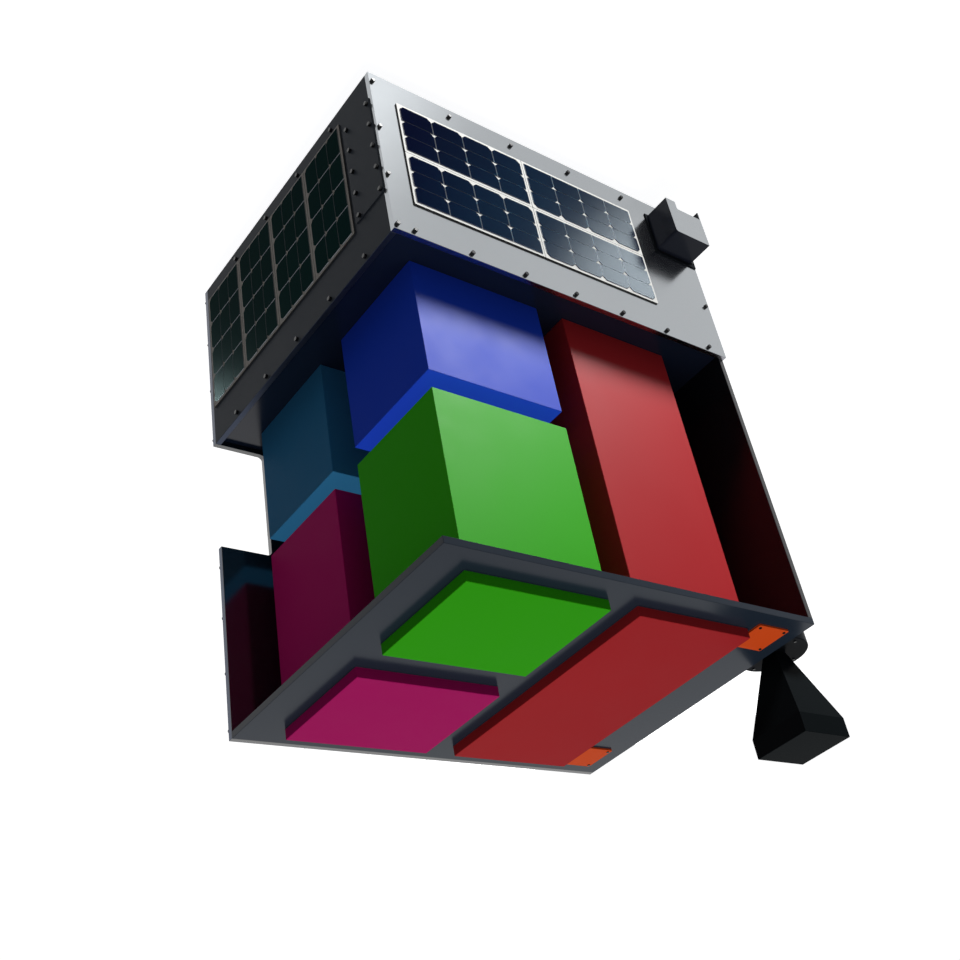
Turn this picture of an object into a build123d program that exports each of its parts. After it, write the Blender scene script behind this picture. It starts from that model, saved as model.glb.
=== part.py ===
"""Small Earth-observation satellite with an open payload bay, standing on its launch adapter ring.

The row frame is in millimetres: +Z up, away from the ring; -Y is the front, with the larger solar array;
+X is the right side, with the smaller array; -X carries the horn antenna; +Y is the back panel.
The origin is the centre of the adapter ring's lower face.
"""
from build123d import *
import os

# Body box
body_width = 800.0          # along X, outside faces of the side panels
body_depth = 663.5          # along Y, outside faces of the front and back panels
body_height = 1027.0        # from the bus end of the panels to the payload deck's outer face
bus_height = 408.5          # height of the closed bus below the payload bay
panel_thickness = 11.0      # honeycomb side panels
deck_thickness = 13.0       # the three decks
mid_deck_recess = 11.0      # mid deck's payload face below the rim of the short panels
base_deck_recess = 17.5     # base deck's outer face above the lower rim of the panels
edge_break = 0.6            # chamfer on panel and deck edges

# Opening in the back panel, towards the right side
notch_width = 102.0
notch_bottom = 408.5        # above the panels' lower rim
notch_height = 236.0
notch_radius = 9.0

# Launch adapter ring
ring_stand_off = 45.0       # floor to the panels' lower rim
ring_bolt_circle = 381.0
ring_bolt_count = 24
ring_bolt_hole = 6.8        # diameter
ring_outer_margin = 14.5    # bolt circle to the flanges' rims
ring_inner_margin = 16.5    # bolt circle to the web's inner face
ring_web = 5.0
ring_flange = 6.0

# Payload units: the two small columns share a footprint, the tall unit has its own
unit_side_margin = 71.5     # right side's outer face to the small columns
unit_left_margin = 123.0    # left side's outer face to the tall unit, room for the patch antennas
unit_front_margin = 64.0    # front panel's outer face to the units
unit_back_margin = 60.5
unit_row_gap = 75.0         # between the front and back columns
unit_column_gap = 62.0      # between the small columns and the tall unit
small_unit_share = 0.51794  # small columns' share of the units' width along X
lower_unit_height = 246.5   # lower tier, standing on the mid deck
tier_gap = 36.4
unit_proud = 18.8           # upper units' tops above the payload deck's outer face
unit_edge = 0.8             # chamfer
window_clearance = 0.3      # each side, between a unit and its window in the payload deck
unit_lip_width = 9.0
unit_lip_thickness = 5.0

# Solar modules and their cells. The arrays fill the panels' width between their margins
front_array_right_margin = 51.7
front_array_left_margin = 169.3     # leaves room for the sensor
front_array_height = 194.8          # array's centre above the panels' lower rim
right_array_front_margin = 107.45   # leaves room for the access cover
right_array_back_margin = 19.05
right_array_height = 181.5
right_module_count = 4
module_seam = 1.0
module_thickness = 3.0
module_corner = 1.5
module_end_border = 4.95            # bare substrate beyond the cells
module_side_border = 6.6
cell_columns = 4
cell_rows = 3
cell_gap = 0.9
cell_crop = 8.2                     # leg of the two cropped corners
cell_thickness = 1.1

# Access cover on the right side
cover_width = 92.0
cover_height = 248.0
cover_thickness = 2.5
cover_corner = 5.0
cover_front_margin = 8.05   # front panel's outer face to the cover
cover_centre_height = 188.0

# Sensor in its folded sheet housing, on the front panel
sensor_sheet = 2.0
sensor_bend = 5.5           # outside radius of the bend
sensor_width = 97.0
sensor_height = 100.0
sensor_depth = 64.0         # from the front panel's face
sensor_side_margin = 13.6   # left side's outer face to the housing
sensor_bottom_height = 48.0
sensor_notch_width = 70.0
sensor_notch_height = 22.0
sensor_notch_radius = 3.6
sensor_flange_margin = 5.8  # flange beyond the housing, towards the array and below
sensor_flange_top_margin = 10.0
sensor_flange_thickness = 2.5
sensor_head_clearance = 4.0
sensor_head_depth = 40.0
sensor_head_edge = 2.0
sensor_barrel_radius = 17.0
sensor_barrel_bore = 13.5
sensor_barrel_length = 28.0

# Horn antenna on the left side
horn_offset = 76.2          # axis from the left side's outer face
horn_front_margin = 175.05  # axis from the front panel's outer face
horn_base_drop = 34.2       # pedestal's top face below the payload deck's outer face
horn_throat = 31.5
horn_aperture_x = 124.0
horn_aperture_y = 122.5
horn_flare_length = 153.0
horn_collar_length = 35.0
horn_cover_thickness = 3.0
horn_wall = 2.0
horn_root = 12.0            # solid length at the throat
pedestal_radius = 68.2
pedestal_height = 60.0
pedestal_edge = 1.5
bracket_plate = 8.0
bracket_gusset = 6.0
bracket_gusset_inset = 12.0
bracket_drop = 78.0
bracket_reach = 118.0

# Patch antennas on the payload deck
patch_size = 76.0
patch_thickness = 3.6
patch_corner = 3.0
patch_side_margin = 38.0    # left side's outer face to the patches
patch_edge_margin = 31.0    # payload deck's edge to the patches

# Avionics and battery stack inside the bus, one plain block
stack_width = 420.0
stack_depth = 320.0
stack_height = 210.0

# Places that follow from the sizes
x_out = body_width / 2
y_out = body_depth / 2
x_in = x_out - panel_thickness
y_in = y_out - panel_thickness
z_rim = ring_stand_off
z_bus_top = z_rim + bus_height
z_top = z_rim + body_height
z_payload_inner = z_top - deck_thickness
z_mid_top = z_bus_top - mid_deck_recess
z_base_bottom = z_rim + base_deck_recess
z_base_top = z_base_bottom + deck_thickness
horn_y = -y_out + horn_front_margin
ring_outer_radius = ring_bolt_circle / 2 + ring_outer_margin
ring_inner_radius = ring_bolt_circle / 2 - ring_inner_margin

# Sizes that fill the room between their margins
units_width = body_width - unit_side_margin - unit_column_gap - unit_left_margin
small_unit_width = units_width * small_unit_share
tall_unit_width = units_width - small_unit_width
small_unit_depth = (body_depth - unit_front_margin - unit_row_gap - unit_back_margin) / 2
front_array_length = body_width - front_array_right_margin - front_array_left_margin
front_array_x = x_out - front_array_right_margin - front_array_length / 2
right_array_length = body_depth - right_array_front_margin - right_array_back_margin
right_array_y = y_out - right_array_back_margin - right_array_length / 2
module_length = (front_array_length - module_seam) / 2
module_width = (right_array_length - (right_module_count - 1) * module_seam) / right_module_count
cell_length = (module_length - 2 * module_end_border - (cell_columns - 1) * cell_gap) / cell_columns
cell_width = (module_width - 2 * module_side_border - (cell_rows - 1) * cell_gap) / cell_rows


def block(x0, x1, y0, y1, z0, z1):
    """A plain box between its low and high faces."""
    centre = Pos((x0 + x1) / 2, (y0 + y1) / 2, (z0 + z1) / 2)
    return centre * Box(x1 - x0, y1 - y0, z1 - z0)


def panel(x0, x1, y0, y1, z0, z1):
    """A panel or deck with its edges broken."""
    body = block(x0, x1, y0, y1, z0, z1)
    return chamfer(body.edges(), edge_break)


def rounded_plate(plane, length, width, thickness, corner):
    """A plate that stands on a plane, with rounded corners."""
    return extrude(plane * RectangleRounded(length, width, corner), thickness)


def make_panels():
    """The four side panels. Front and back lap over the ends of the two sides."""
    back_outline = Pos(0, z_rim + body_height / 2) * Rectangle(body_width, body_height)
    notch_centre = Pos(x_out - notch_width / 2, z_rim + notch_bottom + notch_height / 2)
    notch = notch_centre * Rectangle(notch_width, notch_height)
    notch = fillet(notch.vertices().group_by(Axis.X)[0], notch_radius)
    back_plane = Plane(origin=(0, y_in, 0), x_dir=(1, 0, 0), z_dir=(0, -1, 0))
    back = extrude(back_plane * (back_outline - notch), -panel_thickness)
    return {
        "front_panel": panel(-x_out, x_out, -y_out, -y_in, z_rim, z_bus_top),
        "right_panel": panel(x_in, x_out, -y_in, y_in, z_rim, z_bus_top),
        "left_panel": panel(-x_out, -x_in, -y_in, y_in, z_rim, z_payload_inner),
        "back_panel": chamfer(back.edges(), edge_break),
    }


def unit_footprints():
    """Low X, high X, low Y and high Y of each column of payload units."""
    x_high = x_out - unit_side_margin
    x_low = x_high - small_unit_width
    y_low = -y_out + unit_front_margin
    y_front = y_low + small_unit_depth
    y_back = y_front + unit_row_gap
    y_high = y_back + small_unit_depth
    tall_high = x_low - unit_column_gap
    return {
        "front": (x_low, x_high, y_low, y_front),
        "back": (x_low, x_high, y_back, y_high),
        "tall": (tall_high - tall_unit_width, tall_high, y_low, y_high),
    }


def grown(footprint, margin):
    """A footprint made larger on every side."""
    x0, x1, y0, y1 = footprint
    return x0 - margin, x1 + margin, y0 - margin, y1 + margin


def make_decks():
    """Base deck over the adapter ring, mid deck under the payload bay, payload deck with its windows."""
    payload = panel(-x_out, x_out, -y_in, y_in, z_payload_inner, z_top)
    for footprint in unit_footprints().values():
        payload -= block(*grown(footprint, window_clearance), z_payload_inner - 1, z_top + 1)
    return {
        "base_deck": panel(-x_in, x_in, -y_in, y_in, z_base_bottom, z_base_top),
        "mid_deck": panel(-x_in, x_in, -y_in, y_in, z_mid_top - deck_thickness, z_mid_top),
        "payload_deck": payload,
    }


def make_units():
    """Five closed payload units. Those that pass through the payload deck bolt to it by a lip inside."""
    z_low_top = z_mid_top + lower_unit_height
    z_high_base = z_low_top + tier_gap
    z_high_top = z_top + unit_proud
    table = (
        # name, column, low Z, high Z, lip under the payload deck
        ("unit_front_lower", "front", z_mid_top, z_low_top, False),
        ("unit_back_lower", "back", z_mid_top, z_low_top, False),
        ("unit_front_upper", "front", z_high_base, z_high_top, True),
        ("unit_back_upper", "back", z_high_base, z_high_top, True),
        ("unit_tall", "tall", z_mid_top, z_high_top, True),
    )
    units = {}
    for name, column, low, high, has_lip in table:
        footprint = unit_footprints()[column]
        unit = block(*footprint, low, high)
        unit = chamfer(unit.edges(), unit_edge)
        if has_lip:
            lip = block(*grown(footprint, unit_lip_width), z_payload_inner - unit_lip_thickness, z_payload_inner)
            unit += lip
        units[name] = unit
    return units


def make_ring():
    """Adapter ring: a channel section turned round, with the launch vehicle's bolt circle in its foot."""
    height = z_base_bottom
    web_outer = ring_inner_radius + ring_web
    outline = Polyline(
        (ring_inner_radius, 0),
        (ring_outer_radius, 0),
        (ring_outer_radius, ring_flange),
        (web_outer, ring_flange),
        (web_outer, height - ring_flange),
        (ring_outer_radius, height - ring_flange),
        (ring_outer_radius, height),
        (ring_inner_radius, height),
        close=True,
    )
    ring = revolve(Plane.XZ * make_face(outline), Axis.Z)
    holes = PolarLocations(ring_bolt_circle / 2, ring_bolt_count)
    for place in holes:
        ring -= place * Pos(0, 0, ring_flange / 2) * Cylinder(ring_bolt_hole / 2, ring_flange * 2)
    return {"adapter_ring": ring}


def make_cell():
    """One solar cell on the XY plane, its two cropped corners on the +Y side."""
    half_l, half_w = cell_length / 2, cell_width / 2
    outline = Polyline(
        (-half_l, -half_w),
        (half_l, -half_w),
        (half_l, half_w - cell_crop),
        (half_l - cell_crop, half_w),
        (-half_l + cell_crop, half_w),
        (-half_l, half_w - cell_crop),
        close=True,
    )
    return extrude(make_face(outline), cell_thickness)


def make_modules():
    """Solar modules of cells on a thin substrate: two by two on the front, four in a row on the right."""
    places = {}
    step_long = module_length + module_seam
    step_wide = module_width + module_seam
    z_front = z_rim + front_array_height
    z_right = z_rim + right_array_height
    front_places = (
        # name, side of the array's centre along X and Z, crops towards +Z or -Z
        ("front_1", 1, -1, -1),
        ("front_2", 1, 1, -1),
        ("front_3", -1, -1, 1),
        ("front_4", -1, 1, 1),
    )
    for name, side_x, side_z, crops in front_places:
        origin = (front_array_x + side_x * step_long / 2, -y_out, z_front + side_z * step_wide / 2)
        places[name] = Plane(origin=origin, x_dir=(crops, 0, 0), z_dir=(0, -1, 0))
    for i in range(right_module_count):
        y = right_array_y + (i - (right_module_count - 1) / 2) * step_wide
        places[f"right_{i + 1}"] = Plane(origin=(x_out, y, z_right), x_dir=(0, 0, -1), z_dir=(1, 0, 0))
    cell = make_cell()
    grid = GridLocations(cell_length + cell_gap, cell_width + cell_gap, cell_columns, cell_rows)
    nodes = {}
    for name, plane in places.items():
        nodes[f"module_{name}"] = rounded_plate(plane, module_length, module_width, module_thickness, module_corner)
        face = plane.offset(module_thickness)
        nodes[f"cells_{name}"] = Compound(children=[face.location * place * cell for place in grid])
    return nodes


def make_access_cover():
    """Bolted cover over the bus's service opening."""
    centre_y = -y_out + cover_front_margin + cover_width / 2
    plane = Plane(origin=(x_out, centre_y, z_rim + cover_centre_height), x_dir=(0, 1, 0), z_dir=(1, 0, 0))
    return {"access_cover": rounded_plate(plane, cover_width, cover_height, cover_thickness, cover_corner)}


def make_sensor():
    """Star sensor looking past the bus end, under a folded sheet housing that is open below."""
    x0 = -x_out + sensor_side_margin
    x1 = x0 + sensor_width
    z0 = z_rim + sensor_bottom_height
    z1 = z0 + sensor_height
    y_wall = -y_out
    y_flange = y_wall - sensor_flange_thickness
    y_front = y_wall - sensor_depth
    t = sensor_sheet
    flange = block(
        -x_out + 1, x1 + sensor_flange_margin, y_flange, y_wall, z0 - sensor_flange_margin, z1 + sensor_flange_top_margin
    )
    shell = block(x0, x1, y_front, y_flange, z0, z1)
    bend = shell.edges().filter_by(Axis.Y).sort_by(Axis.Z)[-2:].sort_by(Axis.X)[-1]
    shell = fillet(bend, sensor_bend)
    hollow = block(x0 + t, x1 - t, y_front + t, y_flange + 1, z0 - 1, z1 - t)
    bend = hollow.edges().filter_by(Axis.Y).sort_by(Axis.Z)[-2:].sort_by(Axis.X)[-1]
    hollow = fillet(bend, sensor_bend - t)
    cut_x = x0 + sensor_notch_width
    cut_z = z0 + sensor_notch_height
    cut = block(x0 + t, cut_x, y_front - 1, y_front + t + 1, z0 - 1, cut_z)
    corner = cut.edges().filter_by(Axis.Y).sort_by(Axis.Z)[-2:].sort_by(Axis.X)[-1]
    cut = fillet(corner, sensor_notch_radius)
    housing = shell - hollow - cut
    gap = sensor_head_clearance
    x_mid = (x0 + x1) / 2
    z_head = z0 + t + sensor_barrel_length
    head = block(
        x0 + t + gap, x1 - t - gap, y_flange - sensor_head_depth, y_flange, z_head, z1 - t - gap
    )
    head = chamfer(head.edges().filter_by(Axis.Z), sensor_head_edge)
    y_axis = y_flange - sensor_head_depth / 2
    barrel = Pos(x_mid, y_axis, z_head) * Cylinder(
        sensor_barrel_radius, sensor_barrel_length, align=(Align.CENTER, Align.CENTER, Align.MAX)
    )
    bore = Pos(x_mid, y_axis, z_head - sensor_barrel_length) * Cone(
        sensor_barrel_radius - 1, sensor_barrel_bore * 0.5, sensor_barrel_length,
        align=(Align.CENTER, Align.CENTER, Align.MIN),
    )
    return {
        "sensor_flange": flange,
        "sensor_housing": housing,
        "sensor_head": head + barrel - bore,
    }


def frustum(throat, mouth_x, mouth_y, z_low, z_high):
    """A straight-sided pyramid on the Z axis, from a square throat to a wider mouth."""
    walls = []
    for plane, mouth, reach in ((Plane.XZ, mouth_x, mouth_y), (Plane.YZ, mouth_y, mouth_x)):
        profile = Polyline(
            (-throat / 2, z_low),
            (throat / 2, z_low),
            (mouth / 2, z_high),
            (-mouth / 2, z_high),
            close=True,
        )
        walls.append(extrude(plane * make_face(profile), reach, both=True))
    return walls[0] & walls[1]


def make_horn():
    """Pyramidal horn with a flat cover, on a round pedestal carried by a shelf bracket on the left side."""
    x_axis = -x_out - horn_offset
    z_base = z_top - horn_base_drop
    z_flare = z_base + horn_flare_length
    z_collar = z_flare + horn_collar_length
    at = Pos(x_axis, horn_y, 0)

    outside = frustum(horn_throat, horn_aperture_x, horn_aperture_y, z_base, z_flare)
    collar_size = (horn_aperture_x, horn_aperture_y, horn_collar_length)
    collar = Pos(0, 0, z_flare) * Box(*collar_size, align=(Align.CENTER, Align.CENTER, Align.MIN))
    clear_x = horn_aperture_x - 2 * horn_wall
    clear_y = horn_aperture_y - 2 * horn_wall
    inside = frustum(horn_throat - 2 * horn_wall, clear_x, clear_y, z_base + horn_root, z_flare)
    mouth_size = (clear_x, clear_y, horn_collar_length + 1)
    mouth = Pos(0, 0, z_flare) * Box(*mouth_size, align=(Align.CENTER, Align.CENTER, Align.MIN))
    horn = at * (outside + collar - inside - mouth)
    cover = at * Pos(0, 0, z_collar) * Box(
        horn_aperture_x, horn_aperture_y, horn_cover_thickness, align=(Align.CENTER, Align.CENTER, Align.MIN)
    )
    cover = chamfer(cover.edges().group_by(Axis.Z)[-1], edge_break)

    pedestal = Pos(0, 0, z_base) * Cylinder(
        pedestal_radius, pedestal_height, align=(Align.CENTER, Align.CENTER, Align.MAX)
    )
    pedestal = chamfer(pedestal.edges().filter_by(GeomType.CIRCLE), pedestal_edge)
    pedestal = at * pedestal

    z_shelf = z_base - pedestal_height
    y0 = horn_y - pedestal_radius
    y1 = horn_y + pedestal_radius
    shelf = block(-x_out - bracket_reach, -x_out, y0, y1, z_shelf - bracket_plate, z_shelf)
    wall = block(-x_out - bracket_plate, -x_out, y0, y1, z_shelf - bracket_drop, z_shelf)
    bracket = shelf + wall
    gusset_outline = Polyline(
        (-x_out - bracket_plate, z_shelf - bracket_plate),
        (-x_out - bracket_reach + bracket_gusset_inset, z_shelf - bracket_plate),
        (-x_out - bracket_plate, z_shelf - bracket_drop + bracket_gusset_inset),
        close=True,
    )
    for y in (y0 + bracket_gusset_inset, y1 - bracket_gusset_inset - bracket_gusset):
        plane = Plane(origin=(0, y, 0), x_dir=(1, 0, 0), z_dir=(0, -1, 0))
        bracket += extrude(plane * make_face(gusset_outline), -bracket_gusset)
    return {
        "horn": horn,
        "horn_cover": cover,
        "horn_pedestal": pedestal,
        "horn_bracket": bracket,
    }


def make_patches():
    """Two square patch antennas on the payload deck's outer face."""
    x = -x_out + patch_side_margin + patch_size / 2
    y = y_in - patch_edge_margin - patch_size / 2
    nodes = {}
    for name, centre_y in (("patch_antenna_front", -y), ("patch_antenna_back", y)):
        plane = Plane(origin=(x, centre_y, z_top), z_dir=(0, 0, 1))
        nodes[name] = rounded_plate(plane, patch_size, patch_size, patch_thickness, patch_corner)
    return nodes


def make_stack():
    """Battery and avionics stack, the bus's heavy mass, standing on the base deck."""
    box = block(
        -stack_width / 2, stack_width / 2, -stack_depth / 2, stack_depth / 2, z_base_top, z_base_top + stack_height
    )
    return {"avionics_stack": box}


def main():
    nodes = {}
    makers = (
        make_ring, make_decks, make_panels, make_units, make_modules,
        make_access_cover, make_sensor, make_horn, make_patches, make_stack,
    )
    for make in makers:
        nodes.update(make())
    os.makedirs("parts", exist_ok=True)
    for name, shape in nodes.items():
        export_step(shape, f"parts/{name}.step")


main()
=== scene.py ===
"""Looks of the small satellite: finishes, fasteners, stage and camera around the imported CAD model.

Run as a script by Blender 4.5. Everything is in metres, in the CAD model's own frame:
+Z points away from the adapter ring, -Y is the front with the large solar array, +X the right side.
"""
import math

import bmesh
import bpy
from mathutils import Euler, Matrix, Vector


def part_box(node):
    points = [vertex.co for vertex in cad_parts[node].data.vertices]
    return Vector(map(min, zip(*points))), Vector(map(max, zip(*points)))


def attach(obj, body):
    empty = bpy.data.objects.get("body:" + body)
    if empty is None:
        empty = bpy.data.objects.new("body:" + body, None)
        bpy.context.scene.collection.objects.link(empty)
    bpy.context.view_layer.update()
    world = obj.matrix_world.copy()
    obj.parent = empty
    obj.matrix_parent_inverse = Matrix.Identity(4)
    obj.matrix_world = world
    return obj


bl_info = {
    "name": "Satellite finish",
    "version": (1, 0, 0),
    "blender": (4, 5, 0),
    "location": "View3D > Sidebar > Satellite",
    "description": "Finishes and fasteners of a small satellite, with its stage",
    "category": "Object",
}

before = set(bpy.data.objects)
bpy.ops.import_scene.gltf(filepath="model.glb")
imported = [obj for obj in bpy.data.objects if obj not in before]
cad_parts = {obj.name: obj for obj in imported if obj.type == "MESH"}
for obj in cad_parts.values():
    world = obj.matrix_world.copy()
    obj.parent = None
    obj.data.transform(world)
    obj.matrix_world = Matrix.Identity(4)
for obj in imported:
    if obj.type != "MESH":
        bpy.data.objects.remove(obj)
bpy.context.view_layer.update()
BODY = "root"

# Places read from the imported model
FRONT_LOW, FRONT_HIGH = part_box("front_panel")
DECK_LOW, DECK_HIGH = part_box("payload_deck")
BASE_LOW, BASE_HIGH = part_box("base_deck")
RIGHT_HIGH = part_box("right_panel")[1]
BACK_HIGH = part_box("back_panel")[1]
LEFT_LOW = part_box("left_panel")[0]
MID_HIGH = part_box("mid_deck")[1]
COVER_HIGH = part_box("access_cover")[1]
FRONT_CELLS_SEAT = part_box("module_front_1")[0].y
RIGHT_CELLS_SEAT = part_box("module_right_1")[1].x
BODY_WIDTH = RIGHT_HIGH.x - LEFT_LOW.x

# How far a comparison on a face's place lies behind that face
FACE_SLACK = 0.0002
SEAT_SLACK = 0.00005

# Finishes: what noise spans, and the least and most that it makes of a tone or a roughness
NOISE_SPREAD = (0.3, 0.7)
SLOW_SHARE = 0.7
FINE_SHARE = 0.3
COAT_GLOSS = (0.93, 1.07)
CELL_TONES = (0.93, 1.07)
FILM_TONES = (0.95, 1.03)
TURNED_TONES = (0.90, 1.06)
TURNED_GLOSS = (0.8, 1.2)
TURNED_STRETCH = 60.0
BACK_PANEL_IOR = 1.7

# Weave under the modules' film: distance of its threads, and what brings them to a height near 1
THREAD_SPACING = 0.0006
THREAD_GAIN = 800.0

# Solar cells: their count in a module, along it and across it, the contacts that show on them, and what
# sets the modules apart in the draw of each cell's tone
CELLS_PER_MODULE = (4, 3)
CELL_GAP = 0.0009
DRAW_SPREAD = 1000
CONTACT_HALF_WIDTHS = (0.0011, 0.0008)
CONTACT_STRENGTHS = (0.8, 0.2)
CONTACT_SILVER = (0.74, 0.76, 0.82, 1)
FINGER_SPACING = 0.0008
FINGER_HALF_WIDTH = 0.00004
FINGER_STRENGTH = 0.2
FINGER_BLUE = (0.05, 0.07, 0.20, 1)

# Cap screws: the head's bevel and rim as shares of its size, and the small screws' sockets likewise
HEAD_SIDES = 24
HEAD_BEVEL = 0.09
HEAD_RIM = 0.14
SMALL_SOCKET_WIDTH = 0.5
SMALL_SOCKET_DEPTH = 0.6

# Seats of the screws. Shares are of the body's width, heights and rows are places
EDGE_INSET = 0.0055
LEFT_EDGE_INSET = 0.012
MID_ROW_RISE = 0.0005
BASE_ROW_SHARES = (0.009, 0.222, 0.407, 0.592, 0.776)
MID_ROW_SHARES = (0.009, 0.053, 0.202, 0.350, 0.498, 0.645, 0.792, 0.939)
RIGHT_BASE_SHARES = (0.17, 0.33, 0.49, 0.652)
RIGHT_MID_SHARES = (0.112, 0.26, 0.408, 0.553, 0.70)
FRONT_RIGHT_HEIGHTS = (0.197, 0.321)
FRONT_LEFT_HEIGHTS = (0.189, 0.317)
BUS_HEIGHTS = (0.069, 0.187, 0.310, 0.4346)
NOTCH_HEIGHTS = (0.5605, 0.6438)
PAYLOAD_HEIGHTS = (0.727, 0.833, 0.943, 1.051)
BACK_ROW = (-0.255, -0.1275, 0, 0.1275, 0.255)
LEFT_ROW = (-0.26, -0.13, 0, 0.13, 0.26)
COVER_ROW_SHARES = (0.10, 0.17, 0.24, 0.31, 0.38)
COVER_COLUMN_SHARES = (0.105, 0.018)
PATCH_SCREW_INSET = 0.007
PEDESTAL_SCREW_INSET = 0.0115

# Stage: what the lamps point at, where they stand, the tint of the light, the floor and the camera
STAGE_CENTRE = Vector((-0.05, -0.03, 0.60))
FRONT_ARRAY = Vector((-0.2, -0.33, 0.32))
RIGHT_ARRAY = Vector((0.4, 0.2, 0.25))
LOW_FRONT = Vector((-1.17, -2.27, -3.05))
UNIT_FRONT = Vector((-1.55, -2.36, -2.62))
UNIT_GLOSS_FRONT = Vector((-1.74, -2.36, -2.28))
CELL_FRONT = Vector((-2.6, -2.1, -2.1))
SHEEN_FRONT = Vector((-1.60, -1.77, -1.97))
RIGHT_BACK = Vector((1.5, 2.6, -1.27))
OVERHEAD = STAGE_CENTRE + Vector((0.1, -0.1, 3.2))
BEHIND = STAGE_CENTRE + Vector((-2.2, 2.2, -0.9))
AMBIENT_TINT = (1, 1.02, 1.08)
FLOOR_SIDES = 96
FLOOR_GREY = (0.5, 0.5, 0.5, 1)
FLOOR_SEEN = (0.91, 0.91, 0.91, 1)
CAMERA_PLACE = (1.3677, -1.5275, 2.0151)
CAMERA_TURN = (-54.9186, -12.6308, -140.0224)
CAMERA_LENS = 47.884
CAMERA_SENSOR = 36
CAMERA_SHIFT = (-0.14, -0.04)


def colour_property(name, description, value):
    return bpy.props.FloatVectorProperty(
        name=name, description=description, subtype="COLOR", size=4, min=0, max=1, default=(*value, 1)
    )


def length_property(name, description, value):
    return bpy.props.FloatProperty(
        name=name, description=description, subtype="DISTANCE", unit="LENGTH", min=0, default=value
    )


def strength_property(name, description, value):
    return bpy.props.FloatProperty(name=name, description=description, min=0, default=value)


class SatelliteColours(bpy.types.PropertyGroup):
    """Colours of the coatings, with painted shade and a painted reflection in some of them."""
    front_silver: colour_property("Front panel", "Satin metal of the front panel", (0.338, 0.357, 0.372))
    # Partly painted shade: the side panel and cover are darker than the front panel because their side lies
    # in shade
    side_grey_and_shade: colour_property("Side panel", "Dark grey of the side panel and cover", (0.036, 0.042, 0.051))
    rim: colour_property("Front rim", "Bare metal of the front panel's upper rim", (0.30, 0.30, 0.33))
    # Painted reflection: the dark blue tint of the side and back rims stands in for the dark surroundings
    # that they mirror
    rim_side_painted_reflection: colour_property("Side rim", "Bare metal of the side and back rims", (0.042, 0.052, 0.080))
    deck_grey: colour_property("Payload deck", "Dark blue grey of the payload deck", (0.015, 0.023, 0.036))
    # Painted shade: the back and left panels are near black because their inner faces lie in deep shade
    wall_painted_shade: colour_property("Walls", "Near black of the tall panels", (0.006, 0.007, 0.009))
    # Painted shade: the inner decks are near black because they lie in the shade inside the bus
    inner_deck_painted_shade: colour_property("Inner decks", "Near black of the inner decks", (0.014, 0.022, 0.046))
    unit_blue: colour_property("Blue unit", "Front lower unit", (0.012, 0.050, 0.50))
    unit_teal: colour_property("Teal unit", "Back lower unit", (0.022, 0.13, 0.26))
    unit_green: colour_property("Green unit", "Front upper unit", (0.034, 0.38, 0.006))
    unit_magenta: colour_property("Magenta unit", "Back upper unit", (0.42, 0.008, 0.12))
    unit_red: colour_property("Red unit", "Tall unit", (0.39, 0.020, 0.024))
    patch: colour_property("Patch antennas", "Orange ceramic of the patch antennas", (0.70, 0.075, 0.010))
    film_front: colour_property("Front film", "Cream white film under the front cells", (0.70, 0.70, 0.67))
    # Painted shade: the side film is a darker copy of the cream front film, as the right side lies in shade
    film_side_painted_shade: colour_property("Side film", "Brown grey film under the side cells", (0.30, 0.28, 0.25))
    # Painted shade: this dark colour on the modules' side walls stands in for the shade on them
    core: colour_property("Module core", "Dark core at the modules' edges", (0.05, 0.05, 0.05))
    cell_front: colour_property("Front cells", "Navy of the front cells", (0.0005, 0.0055, 0.070))
    cell_side: colour_property("Side cells", "Black green of the side cells", (0.0010, 0.023, 0.020))
    horn: colour_property("Horn", "Black of the horn antenna", (0.006, 0.008, 0.009))
    fitting: colour_property("Fittings", "Dark metal of the small fittings", (0.010, 0.012, 0.015))
    # Painted shade: the dark colour of the sensor housing's sides stands in for the shade on them
    sensor: colour_property("Sensor housing", "Dark sheet of the sensor housing", (0.016, 0.019, 0.030))
    lid: colour_property("Sensor lid", "Satin metal lid of the sensor housing", (0.338, 0.357, 0.372))
    screw: colour_property("Screws", "Black oxide of the cap screws", (0.005, 0.006, 0.007))
    ring: colour_property("Adapter ring", "Clear chromated aluminium", (0.55, 0.56, 0.57))


class SatelliteFasteners(bpy.types.PropertyGroup):
    """Sizes of the cap screws."""
    head_diameter: length_property("Head diameter", "Diameter of a panel screw's head", 0.0085)
    head_height: length_property("Head height", "Height of a panel screw's head", 0.0052)
    socket_width: length_property("Socket width", "Across the flats of the hexagon socket", 0.0042)
    socket_depth: length_property("Socket depth", "Depth of the hexagon socket", 0.003)
    patch_head: length_property("Patch screw head", "Head diameter of a patch antenna's screw", 0.0056)
    patch_height: length_property("Patch screw height", "Head height of a patch antenna's screw", 0.0018)


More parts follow.
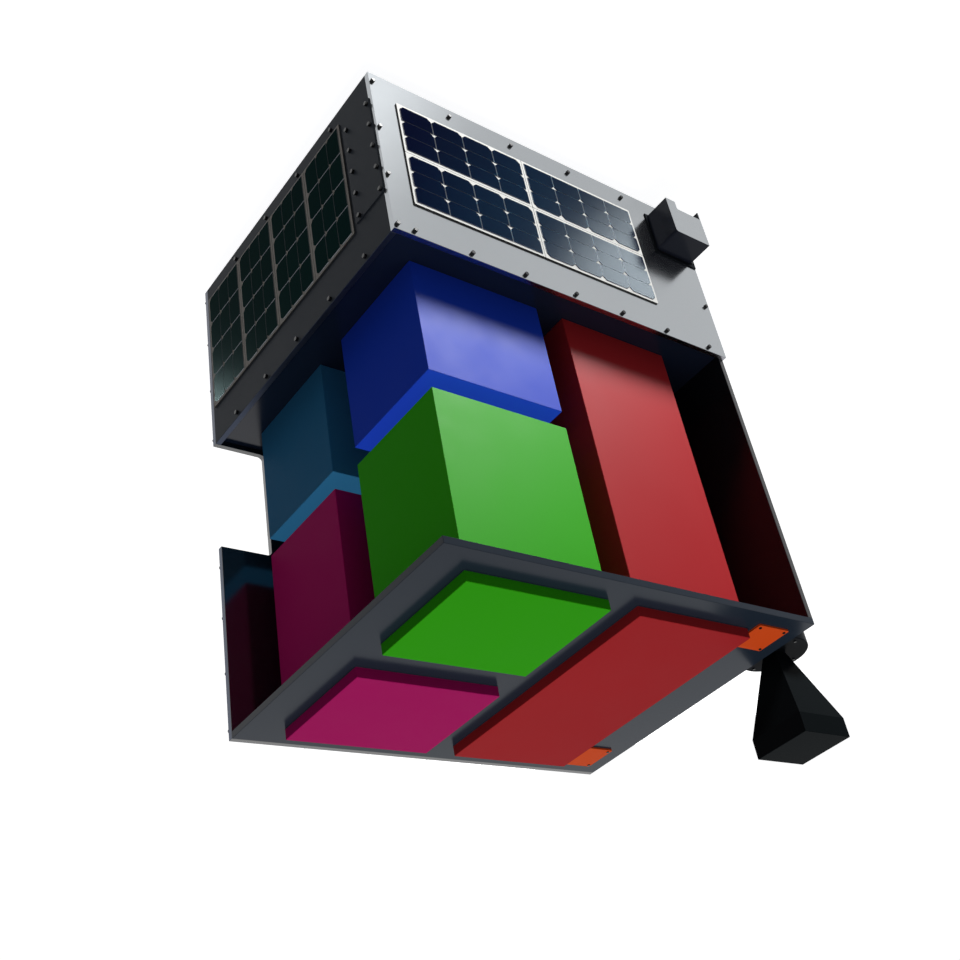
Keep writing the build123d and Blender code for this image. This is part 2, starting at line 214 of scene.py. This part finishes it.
class SatelliteStage(bpy.types.PropertyGroup):
    """The floor and the lamps."""
    floor_radius: length_property("Floor radius", "Radius of the pale floor", 14.0)
    body_power: strength_property("Body key", "Strength of the low front lamp on the body", 300)
    unit_power: strength_property("Unit key", "Strength of the front lamp on the units", 300)
    gloss_power: strength_property("Unit gloss", "Strength of the front lamp's sheen on the units", 900)
    corner_power: strength_property("Corner", "Strength of the lamp that the front corner mirrors", 4.4)
    panel_power: strength_property("Front cells", "Strength of the lamp that the front cells mirror", 360)
    sheen_power: strength_property("Cell sheen", "Strength of the blue green sheen on the front cells", 52)
    side_power: strength_property("Side cells", "Strength of the lamp that the side cells mirror", 420)
    top_power: strength_property("Top", "Strength of the overhead lamp", 36)
    ends_power: strength_property("Lower ends", "Strength of the overhead lamp on the lower units' ends", 58)
    back_power: strength_property("Back", "Strength of the lamp behind", 60)
    ambient: strength_property("Ambient", "Light from all round", 0.20)


def settings():
    """The three property groups."""
    scene = bpy.context.scene
    return scene.satellite_colours, scene.satellite_fasteners, scene.satellite_stage


# Materials


class Nodes:
    """Builds one material's nodes."""

    def __init__(self, name):
        self.material = bpy.data.materials.new(name)
        self.material.use_nodes = True
        self.tree = self.material.node_tree
        self.shader = self.tree.nodes["Principled BSDF"]
        self.object_place = self.add("ShaderNodeTexCoord").outputs["Object"]

    def add(self, kind, **values):
        node = self.tree.nodes.new(kind)
        for key, value in values.items():
            setattr(node, key, value)
        return node

    def link(self, out, to):
        self.tree.links.new(out, to)

    def math(self, operation, first, second=None):
        node = self.add("ShaderNodeMath", operation=operation)
        for socket, value in zip(node.inputs, (first, second)):
            if value is None:
                continue
            if isinstance(value, bpy.types.NodeSocket):
                self.link(value, socket)
            else:
                socket.default_value = value
        return node.outputs[0]

    def noise(self, scale, detail=2.0, roughness=0.5, place=None):
        node = self.add("ShaderNodeTexNoise")
        node.inputs["Scale"].default_value = scale
        node.inputs["Detail"].default_value = detail
        node.inputs["Roughness"].default_value = roughness
        self.link(place or self.object_place, node.inputs["Vector"])
        return node.outputs["Fac"]

    def span(self, value, low, high):
        """Spreads noise over the range from low to high."""
        node = self.add("ShaderNodeMapRange")
        self.link(value, node.inputs["Value"])
        node.inputs["From Min"].default_value = NOISE_SPREAD[0]
        node.inputs["From Max"].default_value = NOISE_SPREAD[1]
        node.inputs["To Min"].default_value = low
        node.inputs["To Max"].default_value = high
        return node.outputs["Result"]

    def blend(self, factor, first, second):
        node = self.add("ShaderNodeMix", data_type="RGBA")
        for socket, value in ((node.inputs[0], factor), (node.inputs[6], first), (node.inputs[7], second)):
            if isinstance(value, bpy.types.NodeSocket):
                self.link(value, socket)
            else:
                socket.default_value = value
        return node.outputs[2]

    def bump(self, height, distance):
        node = self.add("ShaderNodeBump")
        node.inputs["Strength"].default_value = 1.0
        node.inputs["Distance"].default_value = distance
        self.link(height, node.inputs["Height"])
        self.link(node.outputs["Normal"], self.shader.inputs["Normal"])


def scaled(colour, factor):
    return tuple(min(1, c * factor) for c in colour[:3]) + (1,)


def coating(
    name, colour, *, roughness, specular, grain=900.0, depth=0.00003, mottle=0.06, metallic=0, bare=None
):
    """A sprayed or satin finish, with fine grain and slow changes of tone and gloss.

    With bare, a tuple of axis, comparison, place and colour, the part past that place is bare satin metal.
    """
    nodes = Nodes(name)
    slow = nodes.noise(scale=3.5, detail=3.0)
    fine = nodes.noise(scale=grain)
    slow_part = nodes.math("MULTIPLY", slow, SLOW_SHARE)
    fine_part = nodes.math("MULTIPLY", fine, FINE_SHARE)
    tone = nodes.span(nodes.math("ADD", slow_part, fine_part), 0, 1)
    base = nodes.blend(tone, scaled(colour, 1 - mottle), scaled(colour, 1 + mottle))
    nodes.shader.inputs["Metallic"].default_value = metallic
    if bare:
        axis, operation, place, metal = bare
        split = nodes.add("ShaderNodeSeparateXYZ")
        nodes.link(nodes.object_place, split.inputs[0])
        past = nodes.math(operation, split.outputs[axis], place)
        base = nodes.blend(past, base, scaled(metal, 1))
        if not metallic:
            nodes.link(past, nodes.shader.inputs["Metallic"])
    nodes.link(base, nodes.shader.inputs["Base Color"])
    smear = nodes.noise(scale=14.0, detail=4.0, roughness=0.6)
    gloss = nodes.span(smear, roughness * COAT_GLOSS[0], roughness * COAT_GLOSS[1])
    nodes.link(gloss, nodes.shader.inputs["Roughness"])
    nodes.shader.inputs["Specular IOR Level"].default_value = specular
    nodes.bump(fine, depth)
    return nodes.material


def cell_glass(name, colour, cells, axes, *, roughness, specular):
    """One module's solar cells under cover glass, with axes along the module and across it.

    They have fine contact fingers, pale contacts at their borders, and each cell has its own tone.
    """
    nodes = Nodes(name)
    split = nodes.add("ShaderNodeSeparateXYZ")
    nodes.link(nodes.object_place, split.inputs[0])
    low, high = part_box(cells)
    joined = nodes.add("ShaderNodeCombineXYZ")
    contacts = []
    for number, axis in enumerate(axes):
        start = getattr(low, axis) - CELL_GAP / 2
        pitch = (getattr(high, axis) - start + CELL_GAP / 2) / CELLS_PER_MODULE[number]
        place = nodes.math("SUBTRACT", split.outputs[axis.upper()], start)
        cell = nodes.math("FLOOR", nodes.math("DIVIDE", place, pitch))
        nodes.link(nodes.math("ADD", cell, start * DRAW_SPREAD), joined.inputs[number])
        to_border = nodes.math("PINGPONG", place, pitch / 2)
        at_border = nodes.math("LESS_THAN", to_border, CONTACT_HALF_WIDTHS[number])
        contacts.append(nodes.math("MULTIPLY", at_border, CONTACT_STRENGTHS[number]))
    chance = nodes.add("ShaderNodeTexWhiteNoise", noise_dimensions="2D")
    nodes.link(joined.outputs[0], chance.inputs["Vector"])
    own_tone = chance.outputs["Value"]
    tone = nodes.blend(own_tone, scaled(colour, CELL_TONES[0]), scaled(colour, CELL_TONES[1]))
    to_finger = nodes.math("PINGPONG", split.outputs[axes[0].upper()], FINGER_SPACING)
    finger = nodes.math("LESS_THAN", to_finger, FINGER_HALF_WIDTH)
    fingered = nodes.blend(nodes.math("MULTIPLY", finger, FINGER_STRENGTH), tone, FINGER_BLUE)
    contact = nodes.math("MAXIMUM", *contacts)
    nodes.link(nodes.blend(contact, fingered, CONTACT_SILVER), nodes.shader.inputs["Base Color"])
    nodes.shader.inputs["Roughness"].default_value = roughness
    nodes.shader.inputs["Specular IOR Level"].default_value = specular
    ripple = nodes.noise(scale=26.0, detail=1.0)
    nodes.bump(ripple, distance=0.00006)
    return nodes.material


def turned_metal(name, colour, *, roughness):
    """Machined aluminium with fine turning lines round the Z axis."""
    nodes = Nodes(name)
    split = nodes.add("ShaderNodeSeparateXYZ")
    nodes.link(nodes.object_place, split.inputs[0])
    squared = nodes.math(
        "ADD",
        nodes.math("MULTIPLY", split.outputs["X"], split.outputs["X"]),
        nodes.math("MULTIPLY", split.outputs["Y"], split.outputs["Y"]),
    )
    radius = nodes.math("SQRT", squared)
    joined = nodes.add("ShaderNodeCombineXYZ")
    nodes.link(nodes.math("MULTIPLY", radius, TURNED_STRETCH), joined.inputs[0])
    nodes.link(nodes.math("MULTIPLY", split.outputs["Z"], TURNED_STRETCH), joined.inputs[1])
    lines = nodes.noise(scale=40.0, detail=3.0, roughness=0.6, place=joined.outputs[0])
    tone = nodes.span(lines, 0, 1)
    base = nodes.blend(tone, scaled(colour, TURNED_TONES[0]), scaled(colour, TURNED_TONES[1]))
    nodes.link(base, nodes.shader.inputs["Base Color"])
    gloss = nodes.span(lines, roughness * TURNED_GLOSS[0], roughness * TURNED_GLOSS[1])
    nodes.link(gloss, nodes.shader.inputs["Roughness"])
    nodes.shader.inputs["Metallic"].default_value = 1.0
    nodes.bump(lines, distance=0.00002)
    return nodes.material


def woven_film(name, colour, core, seat, *, roughness, specular):
    """The modules' substrate: film over a fine glass weave on its face, and dark painted shade on its side
    walls.

    The seat is a tuple of axis, comparison and place, past which the painted shade shows.
    """
    nodes = Nodes(name)
    axis, operation, place = seat
    split = nodes.add("ShaderNodeSeparateXYZ")
    nodes.link(nodes.object_place, split.inputs[0])
    at_edge = nodes.math(operation, split.outputs[axis], place)
    threads = [nodes.math("PINGPONG", split.outputs[thread_axis], THREAD_SPACING) for thread_axis in "XYZ"]
    crossed = nodes.math("ADD", nodes.math("ADD", threads[0], threads[1]), threads[2])
    weave = nodes.math("MULTIPLY", crossed, THREAD_GAIN)
    slow = nodes.noise(scale=30.0, detail=3.0)
    tone = nodes.span(slow, 0, 1)
    film = nodes.blend(tone, scaled(colour, FILM_TONES[0]), scaled(colour, FILM_TONES[1]))
    # Painted shade: past the seat, the side walls take the dark edge colour instead of the film
    nodes.link(nodes.blend(at_edge, film, scaled(core, 1)), nodes.shader.inputs["Base Color"])
    nodes.shader.inputs["Roughness"].default_value = roughness
    nodes.shader.inputs["Specular IOR Level"].default_value = specular
    nodes.bump(weave, distance=0.00003)
    return nodes.material


def dress(node, material):
    """Gives a CAD node its material."""
    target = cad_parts[node]
    target.data.materials.clear()
    target.data.materials.append(material)


# Screws


def as_piece(mesh, name, material):
    """Makes a finished object of a bmesh, riding on the satellite."""
    data = bpy.data.meshes.new(name)
    mesh.to_mesh(data)
    mesh.free()
    data.materials.append(material)
    piece = bpy.data.objects.new(name, data)
    bpy.context.scene.collection.objects.link(piece)
    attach(piece, BODY)


def upright(normal):
    """A turn that carries +Z to the given outward direction."""
    return Vector(normal).to_track_quat("Z", "Y").to_matrix().to_4x4()


def cap_screw(diameter, height, socket_width, socket_depth):
    """Mesh data of one socket head cap screw that stands on the origin and points to +Z."""
    mesh = bmesh.new()
    bmesh.ops.create_cone(
        mesh, cap_ends=True, segments=HEAD_SIDES, radius1=diameter / 2, radius2=diameter / 2, depth=height,
        matrix=Matrix.Translation((0, 0, height / 2)),
    )
    top = max(mesh.faces, key=lambda face: face.calc_center_median().z)
    bmesh.ops.bevel(
        mesh, geom=list(top.edges), offset=height * HEAD_BEVEL, segments=2, profile=0.5, affect="EDGES",
        material=-1,
    )
    top = max(mesh.faces, key=lambda face: face.calc_center_median().z)
    bmesh.ops.inset_region(mesh, faces=[top], thickness=diameter * HEAD_RIM, use_even_offset=True)
    for vert in top.verts:
        angle = math.atan2(vert.co.y, vert.co.x)
        off_flat = angle % (math.pi / 3) - math.pi / 6
        reach = socket_width / 2 / math.cos(off_flat)
        vert.co.x = reach * math.cos(angle)
        vert.co.y = reach * math.sin(angle)
    sunk = bmesh.ops.extrude_face_region(mesh, geom=[top])
    moved = [part for part in sunk["geom"] if isinstance(part, bmesh.types.BMVert)]
    bmesh.ops.translate(mesh, verts=moved, vec=(0, 0, -socket_depth))
    bmesh.ops.recalc_face_normals(mesh, faces=mesh.faces)
    data = bpy.data.meshes.new("screw")
    mesh.to_mesh(data)
    mesh.free()
    return data


def screw_set(name, places, normal, material, sizes):
    """A set of equal cap screws on one side, as one piece."""
    pattern = cap_screw(*sizes)
    mesh = bmesh.new()
    for place in places:
        before = len(mesh.verts)
        mesh.from_mesh(pattern)
        mesh.verts.ensure_lookup_table()
        bmesh.ops.transform(
            mesh, verts=mesh.verts[before:], matrix=Matrix.Translation(place) @ upright(normal)
        )
    bpy.data.meshes.remove(pattern)
    as_piece(mesh, name, material)


def panel_screw_places():
    """Seats of the panel screws on each side, in lines over the decks and the panels' ends."""
    z_base = (BASE_LOW.z + BASE_HIGH.z) / 2
    z_mid = MID_HIGH.z + MID_ROW_RISE
    z_deck = (DECK_LOW.z + DECK_HIGH.z) / 2
    front_y = FRONT_LOW.y
    back_y = BACK_HIGH.y
    right_x = RIGHT_HIGH.x
    left_x = LEFT_LOW.x
    front = [(right_x - BODY_WIDTH * share, front_y, z_base) for share in BASE_ROW_SHARES]
    front += [(right_x - BODY_WIDTH * share, front_y, z_mid) for share in MID_ROW_SHARES]
    front += [(right_x - EDGE_INSET, front_y, z) for z in FRONT_RIGHT_HEIGHTS]
    front += [(left_x + LEFT_EDGE_INSET, front_y, z) for z in FRONT_LEFT_HEIGHTS]
    right = [(right_x, front_y + BODY_WIDTH * share, z_base) for share in RIGHT_BASE_SHARES]
    right += [(right_x, front_y + BODY_WIDTH * share, z_mid) for share in RIGHT_MID_SHARES]
    back = [(right_x - EDGE_INSET, back_y, z) for z in BUS_HEIGHTS + PAYLOAD_HEIGHTS]
    back += [(left_x + EDGE_INSET, back_y, z) for z in BUS_HEIGHTS + NOTCH_HEIGHTS + PAYLOAD_HEIGHTS]
    back += [(x, back_y, z) for z in (z_base, z_mid, z_deck) for x in BACK_ROW]
    left = [(left_x, y, z) for z in (z_base, z_mid) for y in LEFT_ROW]
    return {
        "front": (front, (0, -1, 0)),
        "right": (right, (1, 0, 0)),
        "back": (back, (0, 1, 0)),
        "left": (left, (-1, 0, 0)),
    }


def cover_screw_places():
    """Seats of the access cover's screws, in rows of two from the bottom up."""
    return [
        (COVER_HIGH.x, FRONT_LOW.y + BODY_WIDTH * across, FRONT_LOW.z + BODY_WIDTH * up)
        for up in COVER_ROW_SHARES for across in COVER_COLUMN_SHARES
    ]


def patch_screw_places(name):
    """Seats of a patch antenna's screws, one in each corner."""
    low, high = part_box(name)
    across = (low.x + PATCH_SCREW_INSET, high.x - PATCH_SCREW_INSET)
    along = (low.y + PATCH_SCREW_INSET, high.y - PATCH_SCREW_INSET)
    return [(x, y, high.z) for x in across for y in along]


def pedestal_screw_places():
    """Seats of the four screws round the horn, on its pedestal."""
    low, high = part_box("horn_pedestal")
    axis = (low + high) / 2
    reach = (high.x - low.x) / 2 - PEDESTAL_SCREW_INSET
    sides = ((1, 0), (0, 1), (-1, 0), (0, -1))
    return [(axis.x + reach * x, axis.y + reach * y, high.z) for x, y in sides]


# Finishes of the CAD nodes


def dress_structure(colours):
    """Panels, decks and access cover."""
    rim_place = FRONT_HIGH.z - FACE_SLACK
    silver = coating(
        "front_silver", colours.front_silver, roughness=0.2, specular=0.5, grain=1400, depth=0.000004,
        mottle=0.02, metallic=1, bare=("Z", "GREATER_THAN", rim_place, colours.rim),
    )
    # Partly painted shade: this grey is darker than the front's silver because the side lies in shade
    grey = coating(
        "side_grey_and_shade", colours.side_grey_and_shade, roughness=0.38, specular=0.02, grain=1400,
        # The side rim's dark blue colour is painted reflection
        bare=("Z", "GREATER_THAN", rim_place, colours.rim_side_painted_reflection),
    )
    deck = coating("deck_grey", colours.deck_grey, roughness=0.2, specular=0.09, grain=700, depth=0.00001)
    # Painted shade: the back panel's near black stands in for the shade on its inner face
    back = coating(
        "back_dark", colours.wall_painted_shade, roughness=0.16, specular=1.0, grain=700, depth=0.000005,
        # The back panel's edge takes the side rims' dark blue, which is painted reflection
        bare=("X", "GREATER_THAN", BACK_HIGH.x - FACE_SLACK, colours.rim_side_painted_reflection),
    )
    back.node_tree.nodes["Principled BSDF"].inputs["IOR"].default_value = BACK_PANEL_IOR
    # Painted shade: the near black of the inner decks stands in for the shade inside the bus
    inner = coating(
        "inner_deck_painted_shade", colours.inner_deck_painted_shade, roughness=0.16, specular=0.35, grain=700, depth=0.000005
    )
    # Painted shade: the left panel's near black stands in for the shade on its inner face
    left = coating("left_dark", colours.wall_painted_shade, roughness=0.2, specular=0.5, grain=700, depth=0.000005)
    dress("front_panel", silver)
    dress("right_panel", grey)
    dress("access_cover", grey)
    dress("payload_deck", deck)
    dress("back_panel", back)
    dress("base_deck", inner)
    dress("mid_deck", inner)
    dress("left_panel", left)


def dress_units(colours):
    """The five payload units."""
    paints = {
        "unit_front_lower": colours.unit_blue,
        "unit_back_lower": colours.unit_teal,
        "unit_front_upper": colours.unit_green,
        "unit_back_upper": colours.unit_magenta,
        "unit_tall": colours.unit_red,
    }
    for node, colour in paints.items():
        paint = coating(
            f"{node}_paint", colour, roughness=0.45, specular=0.01, grain=1200, depth=0.00002, mottle=0.03
        )
        dress(node, paint)


def dress_arrays(colours):
    """The solar modules and their cells."""
    # Painted shade: past these seats, on the modules' side walls, the film takes the dark edge colour
    front_edge_shade = ("Y", "GREATER_THAN", FRONT_CELLS_SEAT + SEAT_SLACK)
    right_edge_shade = ("X", "LESS_THAN", RIGHT_CELLS_SEAT - SEAT_SLACK)
    arrays = (
        ("front", "xz", colours.cell_front, 0.004, colours.film_front, front_edge_shade),
        # The side film's darker colour is painted shade
        ("right", "zy", colours.cell_side, 0.001, colours.film_side_painted_shade, right_edge_shade),
    )
    for side, axes, colour, specular, film_colour, core in arrays:
        film = woven_film(
            f"module_film_{side}", film_colour, colours.core, core, roughness=0.5, specular=0.05
        )
        for number in (1, 2, 3, 4):
            cells = f"cells_{side}_{number}"
            glass = cell_glass(
                f"cell_glass_{side}_{number}", colour, cells, axes, roughness=0.19, specular=specular
            )
            dress(cells, glass)
            dress(f"module_{side}_{number}", film)


def dress_fittings(colours):
    """Horn, sensor, patch antennas, adapter ring, and the avionics stack inside the bus."""
    black = coating("horn_black", colours.horn, roughness=0.25, specular=0.003, grain=1500, depth=0.000005)
    dark = coating(
        "dark_metal", colours.fitting, roughness=0.30, specular=0.008, grain=1500, depth=0.000005
    )
    # Painted shade: the housing's sides take the dark colour and only its front lid is satin metal, so the
    # sides look shaded
    lid_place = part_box("sensor_housing")[0].y + FACE_SLACK
    painted_shade_sheet = coating(
        "sensor_sheet", colours.sensor, roughness=0.2, specular=0.10, grain=1400, depth=0.000004,
        bare=("Y", "LESS_THAN", lid_place, colours.lid),
    )
    orange = coating(
        "patch_ceramic", colours.patch, roughness=0.55, specular=0.05, grain=1800, mottle=0.05
    )
    for node in ("horn", "horn_cover"):
        dress(node, black)
    for node in ("horn_pedestal", "horn_bracket", "sensor_head", "sensor_flange"):
        dress(node, dark)
    dress("sensor_housing", painted_shade_sheet)
    for node in ("patch_antenna_front", "patch_antenna_back"):
        dress(node, orange)
    dress("adapter_ring", turned_metal("ring_metal", colours.ring, roughness=0.32))
    dress("avionics_stack", coating("stack_paint", colours.fitting, roughness=0.4, specular=0.2))


# Operators


class SatelliteOperator(bpy.types.Operator):
    """Base of the operators that make pieces."""
    bl_options = {"REGISTER", "UNDO"}


class SATELLITE_OT_finish(SatelliteOperator):
    """Give every CAD node its finish"""
    bl_idname = "satellite.finish"
    bl_label = "Finish the CAD nodes"

    def execute(self, context):
        colours, _, _ = settings()
        dress_structure(colours)
        dress_units(colours)
        dress_arrays(colours)
        dress_fittings(colours)
        return {"FINISHED"}


class SATELLITE_OT_screws(SatelliteOperator):
    """Fasten the panels, the access cover, the patch antennas and the horn's pedestal"""
    bl_idname = "satellite.screws"
    bl_label = "Cap screws"

    def execute(self, context):
        colours, sizes, _ = settings()
        steel = coating(
            "screw_black", colours.screw, roughness=0.2, specular=0.25, grain=2500, depth=0.00001
        )
        head = (sizes.head_diameter, sizes.head_height, sizes.socket_width, sizes.socket_depth)
        for side, (places, normal) in panel_screw_places().items():
            screw_set(f"screws_{side}", places, normal, steel, head)
        screw_set("screws_cover", cover_screw_places(), (1, 0, 0), steel, head)
        socket = (sizes.patch_head * SMALL_SOCKET_WIDTH, sizes.patch_height * SMALL_SOCKET_DEPTH)
        small = (sizes.patch_head, sizes.patch_height, *socket)
        for name in ("patch_antenna_front", "patch_antenna_back"):
            screw_set(f"screws_{name}", patch_screw_places(name), (0, 0, 1), steel, small)
        screw_set("screws_pedestal", pedestal_screw_places(), (0, 0, 1), steel, small)
        return {"FINISHED"}


class SATELLITE_OT_stage(SatelliteOperator):
    """Floor, background, lamps and camera"""
    bl_idname = "satellite.stage"
    bl_label = "Stage"

    def execute(self, context):
        _, _, stage = settings()
        make_world(stage.ambient)
        make_floor(stage.floor_radius)
        add_front_lamps(stage)
        add_cell_lamps(stage)
        add_high_lamps(stage)
        add_camera()
        return {"FINISHED"}


# Stage


def ray_is_seen(tree):
    """A factor that is 1 for camera, glossy and transmission rays."""
    path = tree.nodes.new("ShaderNodeLightPath")
    seen = path.outputs["Is Camera Ray"]
    for kind in ("Is Glossy Ray", "Is Transmission Ray"):
        either = tree.nodes.new("ShaderNodeMath")
        either.operation = "MAXIMUM"
        tree.links.new(seen, either.inputs[0])
        tree.links.new(path.outputs[kind], either.inputs[1])
        seen = either.outputs[0]
    return seen


def make_world(ambient):
    """White where it is seen, and soft light from all round."""
    world = bpy.data.worlds.new("studio")
    bpy.context.scene.world = world
    world.use_nodes = True
    tree = world.node_tree
    background = tree.nodes["Background"]
    seen = ray_is_seen(tree)
    mix = tree.nodes.new("ShaderNodeMix")
    mix.data_type = "RGBA"
    tree.links.new(seen, mix.inputs[0])
    mix.inputs[6].default_value = (*(ambient * tint for tint in AMBIENT_TINT), 1)
    mix.inputs[7].default_value = (1, 1, 1, 1)
    tree.links.new(mix.outputs[2], background.inputs["Color"])
    background.inputs["Strength"].default_value = 1.0


def make_floor(radius):
    """A pale disc that shows as white, and still takes the object's shadow."""
    mesh = bmesh.new()
    bmesh.ops.create_circle(mesh, cap_ends=True, segments=FLOOR_SIDES, radius=radius)
    data = bpy.data.meshes.new("floor")
    mesh.to_mesh(data)
    mesh.free()
    floor = bpy.data.objects.new("floor", data)
    bpy.context.scene.collection.objects.link(floor)
    material = bpy.data.materials.new("floor_pale")
    material.use_nodes = True
    tree = material.node_tree
    shader = tree.nodes["Principled BSDF"]
    shader.inputs["Base Color"].default_value = FLOOR_GREY
    shader.inputs["Roughness"].default_value = 0.9
    shader.inputs["Specular IOR Level"].default_value = 0.0
    glow = tree.nodes.new("ShaderNodeEmission")
    tree.links.new(ray_is_seen(tree), glow.inputs["Strength"])
    both = tree.nodes.new("ShaderNodeAddShader")
    tree.links.new(shader.outputs[0], both.inputs[0])
    tree.links.new(glow.outputs[0], both.inputs[1])
    tree.links.new(both.outputs[0], tree.nodes["Material Output"].inputs["Surface"])
    glow.inputs["Color"].default_value = FLOOR_SEEN
    data.materials.append(material)
    floor.visible_shadow = False


def add_area_lamp(name, place, target, *, size, power):
    """A round lamp that points at its target and doesn't show."""
    data = bpy.data.lights.new(name, "AREA")
    data.shape = "DISK"
    data.size = size
    data.energy = power
    lamp = bpy.data.objects.new(name, data)
    bpy.context.scene.collection.objects.link(lamp)
    lamp.location = place
    lamp.rotation_euler = (target - place).to_track_quat("-Z", "Y").to_euler()
    lamp.visible_camera = False
    return lamp


def link_lamp(lamp, names, state, role="receiver"):
    """Lets a lamp light only the named nodes, or all but them.

    With the role blocker, the named nodes are those that shade its light, or that don't.
    """
    group = bpy.data.collections.new(f"{lamp.name}_{role}")
    for name in names:
        group.objects.link(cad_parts[name])
    setattr(lamp.light_linking, f"{role}_collection", group)
    for entry in group.collection_objects:
        entry.light_linking.link_state = state


def nodes_named(start):
    """Names of the CAD nodes that begin with the given words."""
    return [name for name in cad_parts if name.startswith(start)]


def add_front_lamps(stage):
    """Low front lamps: on the body, for the mirrored corner of the front panel, and on the payload units."""
    units = nodes_named("unit_")
    own_light = units + nodes_named("cells_") + ["front_panel", "sensor_housing", "adapter_ring"]
    body = add_area_lamp("key_body", LOW_FRONT, STAGE_CENTRE, size=1.2, power=stage.body_power)
    link_lamp(body, own_light, "EXCLUDE")
    corner = add_area_lamp("corner", LOW_FRONT, STAGE_CENTRE, size=0.55, power=stage.corner_power)
    link_lamp(corner, ["front_panel"], "INCLUDE")
    key = add_area_lamp("key_units", UNIT_FRONT, STAGE_CENTRE, size=1.3, power=stage.unit_power)
    link_lamp(key, units, "INCLUDE")
    gloss = add_area_lamp("gloss_units", UNIT_GLOSS_FRONT, STAGE_CENTRE, size=1.3, power=stage.gloss_power)
    gloss.visible_diffuse = False
    link_lamp(gloss, units, "INCLUDE")


def add_cell_lamps(stage):
    """Lamps that only the solar cells mirror."""
    lamps = (
        ("panel", CELL_FRONT, FRONT_ARRAY, 0.9, stage.panel_power, (0.80, 0.93, 1.0), "cells_front"),
        ("sheen", SHEEN_FRONT, FRONT_ARRAY, 0.8, stage.sheen_power, (0.12, 0.62, 1.0), "cells_front"),
        ("side", RIGHT_BACK, RIGHT_ARRAY, 0.7, stage.side_power, (0.70, 1.0, 1.0), "cells_right"),
    )
    for name, place, target, size, power, colour, cells in lamps:
        lamp = add_area_lamp(name, place, target, size=size, power=power)
        lamp.data.color = colour
        lamp.visible_diffuse = False
        link_lamp(lamp, nodes_named(cells), "INCLUDE")


def add_high_lamps(stage):
    """Lamps overhead and behind, and one for the lower units' ends, which nothing over them shades."""
    add_area_lamp("top", OVERHEAD, STAGE_CENTRE, size=1.6, power=stage.top_power)
    ends = add_area_lamp("ends", OVERHEAD, STAGE_CENTRE, size=1.0, power=stage.ends_power)
    link_lamp(ends, ["unit_front_lower", "unit_back_lower"], "INCLUDE")
    over = ["unit_front_upper", "unit_back_upper", "unit_tall", "payload_deck"]
    link_lamp(ends, over, "EXCLUDE", role="blocker")
    add_area_lamp("back", BEHIND, STAGE_CENTRE, size=2.0, power=stage.back_power)


def add_camera():
    """The camera at the photograph's viewing angle."""
    data = bpy.data.cameras.new("camera")
    data.lens = CAMERA_LENS
    data.sensor_width = CAMERA_SENSOR
    data.shift_x, data.shift_y = CAMERA_SHIFT
    camera = bpy.data.objects.new("camera", data)
    bpy.context.scene.collection.objects.link(camera)
    camera.location = CAMERA_PLACE
    camera.rotation_euler = Euler([math.radians(angle) for angle in CAMERA_TURN], "XYZ")
    bpy.context.scene.camera = camera


# Sidebar, registration and run


class SATELLITE_PT_sidebar(bpy.types.Panel):
    """Lists the sizes, the colours and the operators."""
    bl_label = "Satellite"
    bl_idname = "SATELLITE_PT_sidebar"
    bl_space_type = "VIEW_3D"
    bl_region_type = "UI"
    bl_category = "Satellite"

    def draw(self, context):
        for group in settings():
            box = self.layout.box()
            for key in group.bl_rna.properties.keys():
                if key not in ("rna_type", "name"):
                    box.prop(group, key)
        for operator in OPERATORS:
            self.layout.operator(operator.bl_idname)


GROUPS = {
    "satellite_colours": SatelliteColours,
    "satellite_fasteners": SatelliteFasteners,
    "satellite_stage": SatelliteStage,
}
OPERATORS = (SATELLITE_OT_finish, SATELLITE_OT_screws, SATELLITE_OT_stage)


def register():
    for group in GROUPS.values():
        bpy.utils.register_class(group)
    for operator in OPERATORS:
        bpy.utils.register_class(operator)
    bpy.utils.register_class(SATELLITE_PT_sidebar)
    for name, group in GROUPS.items():
        setattr(bpy.types.Scene, name, bpy.props.PointerProperty(type=group))


def unregister():
    for name in GROUPS:
        delattr(bpy.types.Scene, name)
    bpy.utils.unregister_class(SATELLITE_PT_sidebar)
    for operator in reversed(OPERATORS):
        bpy.utils.unregister_class(operator)
    for group in reversed(GROUPS.values()):
        bpy.utils.unregister_class(group)


def main():
    """Builds the scene."""
    register()
    for operator in OPERATORS:
        group, name = operator.bl_idname.split(".")
        getattr(getattr(bpy.ops, group), name)()
    bpy.context.scene.view_settings.view_transform = "Standard"
    bpy.context.view_layer.update()


if __name__ == "__main__":
    main()
